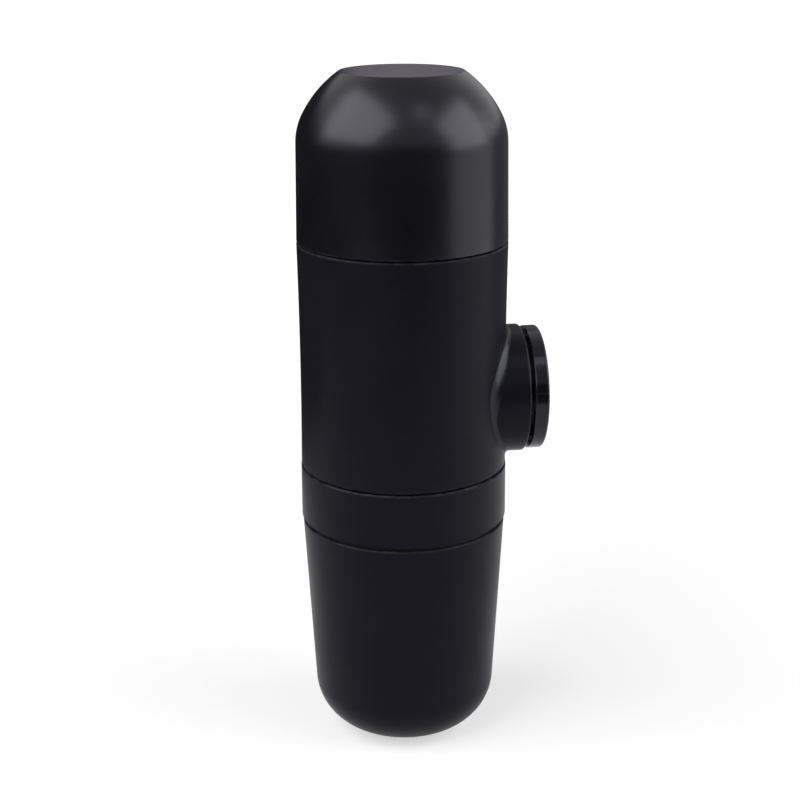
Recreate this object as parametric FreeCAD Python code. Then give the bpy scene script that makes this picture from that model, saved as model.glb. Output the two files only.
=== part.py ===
import FreeCAD, Part

import math
import os

from FreeCAD import Vector

# Handheld manual espresso maker, in millimetres. The origin is the middle of the cup's base, +Z runs up the
# axis through cup, outlet head, body and water tank, and +X points along the hand plunger on the side.

# Outside of the stacked shells. Each shell's radius is the one above or below it plus a step.
body_radius = 29.13
waist_draw = 0.31
head_step = 0.11
head_flare = 0.10
cup_step = 0.32
cup_taper = 3.58
tank_step = 0.03
tank_taper = 0.42
cup_height = 65.05
cup_foot_round = 15.1
head_gap = 1.10
head_height = 15.30
shell_gap = 0.50
shell_height = 63.75
tank_gap = 0.40
tank_straight_height = 26.57
tank_shoulder_round = 16.14
tank_shoulder_turn = 26.85
tank_crown_round = 31.40
tank_flat_radius = 16.78
tank_top_round = 0.60
edge_chamfer = 0.30

# Walls
tank_wall = 2.0
tank_ledge_thickness = 1.6
cup_wall = 1.9
cup_floor = 2.0
cup_lip = 1.10
rim_wall = 2.32
shell_wall = 2.22

# Plunger and the boss that it slides in
boss_radius = 18.07
boss_proud = 4.51
boss_margin = 1.93
boss_wall = 1.72
boss_edge_round = 0.90
boss_root_round = 1.20
knob_gap = 0.99
knob_step = 0.53
knob_thickness = 4.01
knob_edge_round = 0.70
knob_rim = 3.04
knob_web = 0.40
inlay_thickness = 1.0
stroke = 14.0
stroke_margin = 0.4
twist_degrees = 45.0
lug_degrees = 24.0
slot_play_degrees = 2.0
lug_length = 3.0
lug_inset = 2.6
slot_inset = 1.0
sleeve_wall = 1.80
sleeve_web = 2.58
guide_wall = 1.80
guide_inset = 0.6

# Pump
cylinder_bore_radius = 9.5
liner_wall = 1.2
liner_groove_depth = 0.72
barrel_wall = 1.9
barrel_end_wall = 2.4
barrel_shell_gap = 0.87
rod_guide_length = 4.0
rod_radius = 4.5
rod_tip_radius = 3.2
piston_length = 6.2
ring_width = 1.5
ring_depth = 1.3
spring_radius = 8.4
spring_wire = 0.75
spring_turns = 9

# Valves, one above the cylinder and one below it
port_radius = 1.8
port_inset = 2.5
port_margin = 0.5
valve_ball_radius = 3.0
valve_ball_room = 0.6
valve_tube_wall = 1.4
intake_floor_wall = 0.4
intake_spring_length = 4.8
intake_seat_length = 6.0
intake_seat_bore = 2.2
outlet_seat_wall = 1.0
retainer_rise = 0.4
retainer_thickness = 1.5
retainer_bore = 1.25
valve_spring_radius = 2.2
valve_spring_wire = 0.3
valve_spring_turns = 3
strainer_inset = 1.0
strainer_height = 2.4
strainer_hole_spacing = 1.35

# Decks, collars and posts inside the shell
deck_flange_thickness = 2.2
deck_flange_step = 1.07
deck_plate_thickness = 2.0
port_seal_recess = 1.2
collar_wall = 2.2
tank_collar_rim = 1.5
brew_collar_rim = 0.8
brew_plate_thickness = 4.7
blind_wall = 1.0
base_plate_thickness = 3.0
post_radius = 2.8
post_margin = 1.1
post_angles = (80, 135, 225, 280)
saddle_width = 9.0
saddle_setback = 2.0
deck_screw_length = 10.0
collar_screw_length = 12.0

# Three-start threads on tank, outlet head and cup
thread_starts = 3
thread_lead = 12.0
thread_rise = 5.0
ridge_height = 0.9
ridge_sink = 0.27
ridge_root = 1.8
ridge_crest = 0.8
crest_clearance = 0.30
neck_lead_in = 0.9

# Brewing parts
gasket_thickness = 1.4
basket_wall = 0.6
basket_foot_round = 0.54
basket_depth = 14.35
basket_room = 0.9
basket_seal_thickness = 0.8
screen_thickness = 0.8
screen_drop = 3.5
neck_wall = 2.3
floor_room = 1.3
funnel_edge = 1.9
funnel_thickness = 2.0
funnel_drop = 2.7
hub_margin = 1.0
spout_radius = 4.0
spout_bore = 2.0
spout_length = 6.0
spout_flange = 2.0
spout_flange_thickness = 0.8
scoop_room = 0.7
scoop_wall = 1.1
scoop_height = 11.1
scoop_tab_width = 8.0
scoop_tab_length = 6.0
scoop_tab_thickness = 1.65
perforation_radius = 0.45
perforation_rings = 4
perforation_margin = 3.0
tank_seal_thickness = 2.0
cup_seal_seat = 1.45

# Fasteners
screw_radius = 1.25
screw_head_radius = 2.4
screw_head_height = 1.4
screen_screw_head_height = 1.12
knob_screw_radius = 1.6
knob_screw_head_radius = 3.2
knob_screw_head_height = 1.1
knob_screw_length = 12.0
socket_width_ratio = 0.45
socket_depth_ratio = 0.6

# Clearances
running = 0.05
fit = 0.15
contact = 0.05
loose = 0.30

# Radii that follow from the sizes above
head_top_radius = body_radius + head_step
head_bottom_radius = head_top_radius + head_flare
cup_rim_radius = head_bottom_radius - cup_step
cup_base_radius = cup_rim_radius - cup_taper
tank_skirt_radius = body_radius - tank_step
tank_wall_radius = tank_skirt_radius - tank_taper
shell_bore_radius = body_radius - waist_draw - shell_wall
flange_radius = shell_bore_radius + deck_flange_step
female_radius = cup_rim_radius - rim_wall
collar_radius = female_radius - crest_clearance - ridge_height
collar_bore_radius = collar_radius - collar_wall
plug_radius = collar_radius + running * 2
neck_bore_radius = collar_radius - neck_wall
basket_flange_radius = collar_radius
basket_radius = neck_bore_radius - basket_room
scoop_radius = basket_radius - basket_wall - scoop_room
screen_radius = collar_bore_radius - loose
post_circle = collar_bore_radius - screw_head_radius - post_margin

boss_bore_radius = boss_radius - boss_wall
guide_radius = boss_bore_radius - fit
guide_bore_radius = guide_radius - guide_wall
sleeve_radius = guide_bore_radius - fit - running
lug_radius = sleeve_radius + guide_wall - loose
knob_radius = boss_radius - knob_step
inlay_radius = knob_radius - knob_rim
liner_radius = cylinder_bore_radius + liner_wall
barrel_bore_radius = liner_radius + running
barrel_radius = barrel_bore_radius + barrel_wall
chamber_radius = valve_ball_radius + valve_ball_room
valve_tube_radius = chamber_radius + valve_tube_wall
strainer_radius = valve_tube_radius - strainer_inset

# Levels that follow, from the cup's base upwards
cup_top = cup_height
head_bottom = cup_top + head_gap
head_top = head_bottom + head_height
shell_bottom = head_top + shell_gap
shell_top = shell_bottom + shell_height
tank_bottom = shell_top + tank_gap
plunger_level = shell_bottom + boss_margin + boss_radius
thread_pitch = thread_lead / thread_starts
tank_thread_level = shell_top + ridge_root
head_thread_level = shell_bottom - ridge_root - thread_rise
neck_thread_level = head_bottom - neck_lead_in - ridge_root - thread_rise

deck_flange_bottom = shell_top - deck_flange_thickness
deck_bottom = deck_flange_bottom - deck_plate_thickness
post_top = deck_bottom - contact
tank_collar_top = tank_thread_level + thread_rise + ridge_root / 2 + tank_collar_rim
tank_ledge_bottom = tank_collar_top + tank_seal_thickness + 2 * contact
brew_flange_top = shell_bottom + deck_flange_thickness
brew_plate_bottom = brew_flange_top - brew_plate_thickness
brew_collar_bottom = head_thread_level - ridge_root / 2 - brew_collar_rim
block_bottom = brew_flange_top + contact

gasket_bottom = brew_collar_bottom - contact - gasket_thickness
flange_top = gasket_bottom - contact
flange_bottom = flange_top - basket_wall
basket_bottom = flange_top - basket_depth
basket_seal_bottom = flange_bottom - contact - basket_seal_thickness
head_ledge = basket_seal_bottom - contact
floor_edge = basket_bottom - floor_room
floor_centre = floor_edge - funnel_drop
neck_bottom = floor_edge - funnel_edge
cup_thread_bottom = neck_bottom + fit
cup_seal_bottom = cup_top - cup_seal_seat
screen_top = brew_plate_bottom - screen_drop
screen_bottom = screen_top - screen_thickness

# Places along the plunger's axis that follow
boss_reach = body_radius + boss_proud
guide_mouth = boss_reach - guide_inset
knob_start = boss_reach + knob_gap
knob_end = knob_start + knob_thickness
inlay_floor = knob_end - inlay_thickness - fit - running
knob_screw_seat = inlay_floor - knob_screw_head_height - 2 * contact
sleeve_end = knob_start - contact
web_start = sleeve_end - sleeve_web
barrel_end = -math.sqrt((shell_bore_radius - barrel_shell_gap) ** 2 - barrel_radius ** 2)
bore_end = barrel_end + barrel_end_wall
port_place = bore_end + port_inset
piston_start = port_place + port_radius + port_margin
piston_end = piston_start + piston_length
rod_guide_start = piston_end + stroke + stroke_margin
barrel_mouth = rod_guide_start + rod_guide_length
lug_start = barrel_mouth + lug_inset
liner_groove_start = port_place + port_radius * 2

# Valve levels that follow
intake_floor = plunger_level + barrel_radius + intake_floor_wall
intake_ball_low = intake_floor + intake_spring_length + 2 * contact
intake_seat_drop = math.sqrt(valve_ball_radius ** 2 - intake_seat_bore ** 2)
intake_seat_level = intake_ball_low + valve_ball_radius + intake_seat_drop + running
outlet_seat_level = plunger_level - barrel_bore_radius - outlet_seat_wall
outlet_seat_drop = math.sqrt(valve_ball_radius ** 2 - port_radius ** 2)
outlet_ball_low = outlet_seat_level - running - outlet_seat_drop - valve_ball_radius
retainer_bottom = brew_plate_bottom + retainer_rise
retainer_top = retainer_bottom + retainer_thickness

UP = Vector(0, 0, 1)
DOWN = Vector(0, 0, -1)
OUT = Vector(1, 0, 0)


def save(shape, name):
    """Write one sub-part to its own STEP file."""
    shape.exportStep("parts/" + name + ".step")


def disc(radius, bottom, top, x=0.0, y=0.0):
    """Upright cylinder between two levels."""
    return Part.makeCylinder(radius, top - bottom, Vector(x, y, bottom), UP)


def ring(outer, inner, bottom, top, x=0.0, y=0.0):
    """Upright tube between two levels."""
    return disc(outer, bottom, top, x, y).cut(disc(inner, bottom, top, x, y))


def rod(radius, start, end):
    """Cylinder along the plunger's axis, from one X to another."""
    return Part.makeCylinder(radius, end - start, Vector(start, 0, plunger_level), OUT)


def tube(outer, inner, start, end):
    """Tube along the plunger's axis."""
    return rod(outer, start, end).cut(rod(inner, start, end))


def line(a, b):
    """Straight edge between two (radius, level) points."""
    return Part.LineSegment(Vector(a[0], 0, a[1]), Vector(b[0], 0, b[1])).toShape()


def arc(a, middle, b):
    """Round edge through three (radius, level) points."""
    points = [Vector(p[0], 0, p[1]) for p in (a, middle, b)]
    return Part.Arc(*points).toShape()


def revolve(edges):
    """Full turn of a closed outline about the upright axis."""
    face = Part.Face(Part.Wire(edges))
    return face.revolve(Vector(0, 0, 0), UP, 360)


def lathe(points):
    """Full turn of an outline of straight runs through (radius, level) points."""
    closed = list(points) + [points[0]]
    return revolve([line(a, b) for a, b in zip(closed, closed[1:])])


def on_circle(centre, radius, turn):
    """Point of an arc's circle at an angle in degrees from level."""
    angle = math.radians(turn)
    return (centre[0] + radius * math.cos(angle), centre[1] + radius * math.sin(angle))


def round_edges(shape, size, radius, level, sharp=False):
    """Round or chamfer the upright-axis circles of one radius at one level."""
    found = []
    for edge in shape.Edges:
        curve = edge.Curve
        if not isinstance(curve, Part.Circle):
            continue
        if abs(curve.Radius - radius) < 0.01 and abs(curve.Center.z - level) < 0.01:
            if abs(curve.Axis.z) > 0.99:
                found.append(edge)
    if sharp:
        return shape.makeChamfer(size, found)
    return shape.makeFillet(size, found)


def round_end(shape, size, radius, reach):
    """Round the plunger-axis circles of one radius at one X."""
    found = []
    for edge in shape.Edges:
        curve = edge.Curve
        if not isinstance(curve, Part.Circle):
            continue
        if abs(curve.Radius - radius) < 0.01 and abs(curve.Center.x - reach) < 0.01:
            found.append(edge)
    return shape.makeFillet(size, found)


def ridges(radius, level, inward=False):
    """Thread ridges, one per start, whose middles climb from a level by thread_rise."""
    side = -1 if inward else 1
    outline = [
        Vector(radius - side * ridge_sink, 0, -ridge_root / 2),
        Vector(radius + side * ridge_height, 0, -ridge_crest / 2),
        Vector(radius + side * ridge_height, 0, ridge_crest / 2),
        Vector(radius - side * ridge_sink, 0, ridge_root / 2),
    ]
    made = []
    for start in range(thread_starts):
        sweep = Part.BRepOffsetAPI.MakePipeShell(Part.makeHelix(thread_lead, thread_rise, radius))
        sweep.setFrenetMode(True)
        sweep.add(Part.makePolygon(outline + [outline[0]]))
        sweep.build()
        sweep.makeSolid()
        ridge = sweep.shape()
        ridge.rotate(Vector(0, 0, 0), UP, 360.0 * start / thread_starts)
        ridge.translate(Vector(0, 0, level))
        made.append(ridge)
    return made


def add_ridges(shape, radius, level, inward=False):
    """Fuse a set of thread ridges to a wall."""
    return shape.fuse(ridges(radius, level, inward)).removeSplitter()


def coil(radius, wire, turns, base, direction, length):
    """Round-wire coil spring of a free length between two flat seats."""
    pitch = (length - 2 * wire) / turns
    helix = Part.makeHelix(pitch, pitch * turns, radius)
    section = Part.Wire(Part.makeCircle(wire, Vector(radius, 0, 0), Vector(0, 1, 0)))
    sweep = Part.BRepOffsetAPI.MakePipeShell(helix)
    sweep.setFrenetMode(True)
    sweep.add(section)
    sweep.build()
    sweep.makeSolid()
    spring = sweep.shape()
    spring.translate(Vector(0, 0, wire))
    turn = FreeCAD.Rotation(UP, direction)
    spring.Placement = FreeCAD.Placement(base, turn).multiply(spring.Placement)
    return spring


def screw(radius, head_radius, head_height, length, seat, direction):
    """Pan-head screw whose head stands on its seat, with the shank running along direction."""
    head = Part.makeCylinder(head_radius, head_height, seat, direction.negative())
    crown = seat + direction.negative() * head_height
    socket_radius = head_radius * socket_width_ratio
    socket = Part.makeCylinder(socket_radius, head_height * socket_depth_ratio, crown, direction)
    shank = Part.makeCylinder(radius, length, seat, direction)
    return head.cut(socket).fuse(shank).removeSplitter()


def perforations(ring_count, spacing, bottom, top, first_ring=1):
    """Upright drills in rings about the axis."""
    drills = []
    for index in range(first_ring, ring_count + first_ring):
        count = 6 * index
        for step in range(count):
            angle = 2 * math.pi * step / count
            x = index * spacing * math.cos(angle)
            y = index * spacing * math.sin(angle)
            drills.append(disc(perforation_radius, bottom, top, x, y))
    return Part.makeCompound(drills)


def post_places():
    """Centres of the four posts that carry the screws."""
    places = []
    for angle in post_angles:
        turn = math.radians(angle)
        places.append((post_circle * math.cos(turn), post_circle * math.sin(turn)))
    return places


def make_water_tank():
    """Dome-shaped tank, open downwards, with a female thread in its skirt."""
    wall_top = tank_bottom + tank_straight_height
    shoulder = (tank_wall_radius - tank_shoulder_round, wall_top)
    joint = on_circle(shoulder, tank_shoulder_round, tank_shoulder_turn)
    crown = on_circle(joint, -tank_crown_round, tank_shoulder_turn)
    crown_turn = math.degrees(math.acos((tank_flat_radius - crown[0]) / tank_crown_round))
    flat_edge = on_circle(crown, tank_crown_round, crown_turn)
    half_shoulder = tank_shoulder_turn / 2
    half_crown = (tank_shoulder_turn + crown_turn) / 2

    ceiling = flat_edge[1] - tank_wall
    inner_crown = tank_crown_round - tank_wall
    inner_turn = math.degrees(math.asin((ceiling - crown[1]) / inner_crown))
    half_inner = (inner_turn + tank_shoulder_turn) / 2
    inner_edge = on_circle(crown, inner_crown, inner_turn)
    inner_joint = on_circle(crown, inner_crown, tank_shoulder_turn)
    inner_shoulder = tank_shoulder_round - tank_wall
    inner_wall_top = (tank_wall_radius - tank_wall, wall_top)
    ledge_top = tank_ledge_bottom + tank_ledge_thickness
    ledge_radius = collar_bore_radius + loose
    inner_wall_foot = (female_radius, ledge_top)

    outline = [
        line((female_radius, tank_bottom), (tank_skirt_radius, tank_bottom)),
        line((tank_skirt_radius, tank_bottom), (tank_wall_radius, wall_top)),
        arc((tank_wall_radius, wall_top), on_circle(shoulder, tank_shoulder_round, half_shoulder), joint),
        arc(joint, on_circle(crown, tank_crown_round, half_crown), flat_edge),
        line(flat_edge, (0, flat_edge[1])),
        line((0, flat_edge[1]), (0, ceiling)),
        line((0, ceiling), inner_edge),
        arc(inner_edge, on_circle(crown, inner_crown, half_inner), inner_joint),
        arc(inner_joint, on_circle(shoulder, inner_shoulder, half_shoulder), inner_wall_top),
        line(inner_wall_top, inner_wall_foot),
        line(inner_wall_foot, (ledge_radius, ledge_top)),
        line((ledge_radius, ledge_top), (ledge_radius, tank_ledge_bottom)),
        line((ledge_radius, tank_ledge_bottom), (female_radius, tank_ledge_bottom)),
        line((female_radius, tank_ledge_bottom), (female_radius, tank_bottom)),
    ]
    tank = revolve(outline)
    tank = round_edges(tank, tank_top_round, tank_flat_radius, flat_edge[1])
    tank = round_edges(tank, edge_chamfer, tank_skirt_radius, tank_bottom, sharp=True)
    return add_ridges(tank, female_radius, tank_thread_level + thread_pitch / 2, inward=True)


def make_tank_seal():
    """Flat ring between the tank's ledge and the collar's rim."""
    low = tank_collar_top + contact
    return ring(plug_radius, collar_bore_radius + loose, low, low + tank_seal_thickness)


def make_top_deck():
    """Upper deck of the body with the collar that the tank screws onto."""
    deck = disc(flange_radius, deck_flange_bottom, shell_top)
    deck = deck.fuse(disc(shell_bore_radius - loose, deck_bottom, deck_flange_bottom))
    deck = deck.fuse(disc(collar_radius, deck_flange_bottom, tank_collar_top))
    deck = deck.cut(disc(collar_bore_radius, deck_flange_bottom, tank_collar_top))
    port = disc(port_radius + running, deck_bottom, deck_flange_bottom, port_place)
    recess = disc(valve_tube_radius + 2 * fit, deck_bottom, deck_bottom + port_seal_recess, port_place)
    deck = deck.cut([port, recess])
    holes = [disc(screw_radius + fit, deck_bottom, deck_flange_bottom, x, y) for x, y in post_places()]
    deck = deck.cut(holes).removeSplitter()
    deck = round_edges(deck, edge_chamfer, collar_radius, tank_collar_top, sharp=True)
    return add_ridges(deck, collar_radius, tank_thread_level)


def make_intake_strainer():
    """Low perforated cap over the deck's water port."""
    low = deck_flange_bottom + contact
    top = low + strainer_height
    cap = disc(strainer_radius, low, top, port_place)
    inside = disc(strainer_radius - basket_wall, low, top - basket_wall, port_place)
    drills = perforations(2, strainer_hole_spacing, low, top)
    drills.translate(Vector(port_place, 0, 0))
    return cap.cut(inside).cut(drills)


def make_deck_screws():
    """Four screws from the deck down into the posts."""
    places = post_places()
    seat = deck_flange_bottom + contact
    screws = [
        screw(screw_radius, screw_head_radius, screw_head_height, deck_screw_length, Vector(x, y, seat), DOWN)
        for x, y in places
    ]
    return Part.makeCompound(screws)


def make_collar_screws():
    """Four screws from under the brew plate up into the posts."""
    places = post_places()
    seat = brew_plate_bottom - contact
    screws = [
        screw(screw_radius, screw_head_radius, screw_head_height, collar_screw_length, Vector(x, y, seat), UP)
        for x, y in places
    ]
    return Part.makeCompound(screws)


def make_body_shell():
    """Waisted outer tube with the round boss for the plunger."""
    middle = (shell_bottom + shell_top) / 2
    outline = [
        line((0, shell_bottom), (body_radius, shell_bottom)),
        arc((body_radius, shell_bottom), (body_radius - waist_draw, middle), (body_radius, shell_top)),
        line((body_radius, shell_top), (0, shell_top)),
        line((0, shell_top), (0, shell_bottom)),
    ]
    shell = revolve(outline)
    boss = rod(boss_radius, 0, boss_reach)
    shell = shell.fuse(boss)
    root = []
    for edge in shell.Edges:
        box = edge.BoundBox
        at_wall = box.XMin > 0 and box.XMax < boss_reach - boss_edge_round
        if at_wall and box.YLength > boss_radius and box.ZLength > boss_radius:
            root.append(edge)
    shell = shell.makeFillet(boss_root_round, root)
    shell = round_end(shell, boss_edge_round, boss_radius, boss_reach)
    shell = round_edges(shell, edge_chamfer, body_radius, shell_bottom, sharp=True)
    shell = round_edges(shell, edge_chamfer, body_radius, shell_top, sharp=True)
    recess = flange_radius + running
    depth = deck_flange_thickness + contact
    cuts = [
        disc(shell_bore_radius, shell_bottom, shell_top),
        disc(recess, shell_top - depth, shell_top),
        disc(recess, shell_bottom, shell_bottom + depth),
        rod(boss_bore_radius, 0, boss_reach),
    ]
    return shell.cut(cuts)


def lug_sector(inner, outer, start, end, first, last):
    """Part of a tube along the plunger's axis, between two angles from straight up."""
    shape = Part.makeCylinder(outer, end - start, Vector(0, 0, 0), UP, last - first)
    shape = shape.cut(Part.makeCylinder(inner, end - start))
    shape.rotate(Vector(0, 0, 0), UP, first)
    shape.rotate(Vector(0, 0, 0), Vector(0, 1, 0), 90)
    shape.rotate(Vector(0, 0, 0), OUT, 180)
    shape.translate(Vector(start, 0, plunger_level))
    return shape


def make_pump_block():
    """Chassis inside the shell: pump barrel, plunger guide, valve towers, posts and base plate."""
    block = rod(barrel_radius, barrel_end, barrel_mouth)
    block = block.fuse(rod(guide_radius, barrel_mouth - guide_wall, guide_mouth))
    plate = disc(shell_bore_radius - loose, block_bottom, block_bottom + base_plate_thickness)
    posts = [disc(post_radius, block_bottom, post_top, x, y) for x, y in post_places()]
    intake_tower = disc(valve_tube_radius, plunger_level, post_top, port_place)
    outlet_tower = disc(valve_tube_radius, block_bottom, plunger_level, port_place)
    saddle_length = barrel_mouth - barrel_end - saddle_setback
    corner = Vector(barrel_end + saddle_setback, -saddle_width / 2, block_bottom)
    saddle = Part.makeBox(saddle_length, saddle_width, plunger_level - block_bottom, corner)
    block = block.fuse([plate, intake_tower, outlet_tower, saddle] + posts)

    slot_first = -lug_degrees / 2 - slot_play_degrees
    slot_last = lug_degrees / 2 + twist_degrees + slot_play_degrees
    slot_start = barrel_mouth + slot_inset
    slot_end = lug_start + lug_length + stroke + loose
    cuts = [
        rod(barrel_bore_radius, bore_end, barrel_mouth),
        rod(guide_bore_radius, barrel_mouth, guide_mouth),
        disc(chamber_radius, intake_floor, post_top, port_place),
        disc(port_radius, plunger_level, intake_floor, port_place),
        disc(port_radius, outlet_seat_level, plunger_level, port_place),
        disc(chamber_radius, block_bottom, outlet_seat_level, port_place),
    ]
    for side in (0, 180):
        first = side + slot_first
        last = side + slot_last
        cuts.append(lug_sector(sleeve_radius, guide_radius + fit, slot_start, slot_end, first, last))
    for x, y in post_places():
        cuts.append(disc(screw_radius + running, post_top - deck_screw_length, post_top, x, y))
        cuts.append(disc(screw_radius + running, block_bottom, block_bottom + collar_screw_length, x, y))
    return block.cut(cuts).removeSplitter()


def make_pump_cylinder():
    """Steel liner with a water port above and below."""
    liner = tube(liner_radius, cylinder_bore_radius, bore_end + contact, rod_guide_start - contact)
    port = disc(port_radius, plunger_level - barrel_radius, plunger_level + barrel_radius, port_place)
    groove_end = liner_groove_start + ring_width
    groove = tube(liner_radius, liner_radius - liner_groove_depth, liner_groove_start, groove_end)
    return liner.cut([port, groove])


def make_cylinder_seal():
    """Ring in the liner's outer groove."""
    start = liner_groove_start + running
    inner = liner_radius - liner_groove_depth + running
    return tube(liner_radius, inner, start, start + ring_width - 2 * running)


def make_rod_guide():
    """Plug in the barrel's mouth that guides the rod and seats the spring."""
    return tube(liner_radius, rod_radius + running, rod_guide_start, barrel_mouth)


def make_plunger():
    """Piston head with two ring grooves, its rod, and the stepped tip that takes the knob."""
    head = rod(cylinder_bore_radius - running, piston_start, piston_end)
    stem = rod(rod_radius, piston_end, web_start - contact)
    tip = rod(rod_tip_radius, web_start - contact, knob_screw_seat - knob_web - fit)
    plunger = head.fuse([stem, tip])
    cuts = [rod(knob_screw_radius + running, knob_screw_seat - knob_screw_length, knob_end)]
    for start in ring_places():
        groove = tube(cylinder_bore_radius, cylinder_bore_radius - ring_depth, start, start + ring_width)
        cuts.append(groove)
    return plunger.cut(cuts).removeSplitter()


def ring_places():
    """Where each piston ring's groove starts."""
    land = (piston_length - 2 * ring_width) / 3
    return [piston_start + land, piston_end - land - ring_width]


def make_plunger_seals():
    """Two rings round the piston head."""
    rings = []
    for start in ring_places():
        outer = cylinder_bore_radius - running
        inner = cylinder_bore_radius - ring_depth + running
        rings.append(tube(outer, inner, start + running, start + ring_width - running))
    return Part.makeCompound(rings)


def make_return_spring():
    """Coil spring round the rod, between the rod guide and the knob sleeve's web."""
    base = Vector(barrel_mouth + contact, 0, plunger_level)
    length = web_start - barrel_mouth - 2 * contact
    return coil(spring_radius, spring_wire, spring_turns, base, OUT, length)


def make_knob_sleeve():
    """Sliding sleeve under the knob, closed at its outer end, with two guide lugs."""
    sleeve = rod(sleeve_radius, lug_start, sleeve_end)
    lugs = [
        lug_sector(sleeve_radius - sleeve_wall / 2, lug_radius, lug_start,
                   lug_start + lug_length, side - lug_degrees / 2, side + lug_degrees / 2)
        for side in (0, 180)
    ]
    sleeve = sleeve.fuse(lugs)
    hollow = rod(sleeve_radius - sleeve_wall, lug_start, web_start)
    hole = rod(rod_tip_radius + running, web_start, sleeve_end)
    return sleeve.cut([hollow, hole]).removeSplitter()


def make_knob_cap():
    """Round push plate, recessed outside for the inlay and drilled for the screw."""
    cap = rod(knob_radius, knob_start, knob_end)
    cap = round_end(cap, knob_edge_round, knob_radius, knob_end)
    cap = round_end(cap, knob_edge_round / 2, knob_radius, knob_start)
    cuts = [
        rod(inlay_radius + running * 2, inlay_floor, knob_end),
        rod(knob_screw_head_radius + fit * 2, knob_screw_seat, knob_end),
        rod(knob_screw_radius + running, knob_start, knob_end),
        rod(rod_tip_radius + running, knob_start, knob_screw_seat - knob_web),
    ]
    return cap.cut(cuts)


def make_knob_inlay():
    """Thin plain disc that covers the screw."""
    start = inlay_floor + contact
    return rod(inlay_radius, start, start + inlay_thickness)


def make_knob_screw():
    """Screw through the cap into the plunger's tip."""
    seat = Vector(knob_screw_seat + contact, 0, plunger_level)
    return screw(knob_screw_radius, knob_screw_head_radius, knob_screw_head_height,
                 knob_screw_length, seat, OUT.negative())


def make_intake_valve_seat():
    """Tube pressed into the tower above the intake ball."""
    top = intake_seat_level + intake_seat_length
    seat = disc(chamber_radius - running, intake_seat_level, top, port_place)
    return seat.cut(disc(intake_seat_bore, intake_seat_level, top, port_place))


def ball(low):
    """Valve ball whose lowest point is at a level."""
    return Part.makeSphere(valve_ball_radius, Vector(port_place, 0, low + valve_ball_radius))


def valve_spring(bottom, top):
    """Coil spring between two levels under a valve ball."""
    base = Vector(port_place, 0, bottom)
    return coil(valve_spring_radius, valve_spring_wire, valve_spring_turns, base, UP, top - bottom)


def make_outlet_valve_retainer():
    """Drilled disc pressed in under the outlet spring."""
    retainer = disc(chamber_radius - running, retainer_bottom, retainer_top, port_place)
    return retainer.cut(disc(retainer_bore, retainer_bottom, retainer_top, port_place))


def make_port_seals():
    """Square rings where the valve towers meet the two decks."""
    outer = valve_tube_radius
    inner = chamber_radius + running
    height = port_seal_recess - 2 * contact
    low = deck_bottom + contact
    upper_ring = ring(outer, inner, low, low + height, port_place)
    low = brew_flange_top - port_seal_recess + contact
    lower_ring = ring(outer, inner, low, low + height, port_place)
    return Part.makeCompound([upper_ring, lower_ring])


def make_brew_collar():
    """Lower deck of the body with the collar that the outlet head screws onto."""
    collar = disc(flange_radius, shell_bottom, brew_flange_top)
    collar = collar.fuse(disc(collar_radius, brew_collar_bottom, brew_flange_top))
    collar = collar.cut(disc(collar_bore_radius, brew_collar_bottom, brew_plate_bottom))
    collar = collar.fuse(disc(post_radius + hub_margin, screen_top + contact, brew_plate_bottom))
    recess_low = brew_flange_top - port_seal_recess
    cuts = [
        disc(chamber_radius, brew_plate_bottom, brew_flange_top, port_place),
        disc(valve_tube_radius + 2 * fit, recess_low, brew_flange_top, port_place),
        disc(screw_radius + running, screen_top, brew_flange_top - blind_wall),
    ]
    for x, y in post_places():
        cuts.append(disc(screw_radius + fit, brew_plate_bottom, brew_flange_top, x, y))
    collar = collar.cut(cuts).removeSplitter()
    return add_ridges(collar, collar_radius, head_thread_level)


def make_shower_screen():
    """Perforated steel disc under the brew plate."""
    screen = disc(screen_radius, screen_bottom, screen_top)
    spacing = (screen_radius - perforation_margin) / (perforation_rings + 1)
    drills = perforations(perforation_rings, spacing, screen_bottom, screen_top, first_ring=2)
    centre = disc(screw_radius + fit, screen_bottom, screen_top)
    return screen.cut(centre).cut(drills)


def make_screen_screw():
    """Screw that holds the shower screen to the brew plate."""
    seat = Vector(0, 0, screen_bottom - contact)
    length = brew_flange_top - 2 * blind_wall - screen_bottom
    return screw(screw_radius, screw_head_radius, screen_screw_head_height, length, seat, UP)


def make_group_gasket():
    """Flat ring between the brew collar and the basket's flange."""
    return ring(collar_radius, collar_bore_radius, gasket_bottom, gasket_bottom + gasket_thickness)


def make_filter_basket():
    """Steel coffee basket that hangs by its flange in the outlet head."""
    basket = disc(basket_radius, basket_bottom, flange_top)
    basket = basket.fuse(disc(basket_flange_radius, flange_bottom, flange_top))
    basket = basket.cut(disc(basket_radius - basket_wall, basket_bottom + basket_wall, flange_top))
    basket = basket.removeSplitter()
    basket = round_edges(basket, basket_foot_round, basket_radius, basket_bottom)
    spacing = (basket_radius - perforation_margin) / (perforation_rings + 1)
    floor_top = basket_bottom + basket_wall
    return basket.cut(perforations(perforation_rings + 1, spacing, basket_bottom, floor_top))


def make_basket_seal():
    """Thin ring between the basket's flange and the outlet head's ledge."""
    low = basket_seal_bottom
    return ring(basket_flange_radius, neck_bore_radius + running, low, low + basket_seal_thickness)


def make_coffee_scoop():
    """Shallow scoop stored in the basket, with a grip tab at its mouth."""
    low = basket_bottom + basket_wall + contact
    top = low + scoop_height
    scoop = disc(scoop_radius, low, top)
    scoop = round_edges(scoop, scoop_wall, scoop_radius, low)
    scoop = scoop.cut(disc(scoop_radius - scoop_wall, low + scoop_wall, top))
    reach = scoop_radius - scoop_wall / 2
    corner = Vector(-reach, -scoop_tab_width / 2, top - scoop_tab_thickness)
    tab = Part.makeBox(scoop_tab_length, scoop_tab_width, scoop_tab_thickness, corner)
    return scoop.fuse(tab).removeSplitter()


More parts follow.
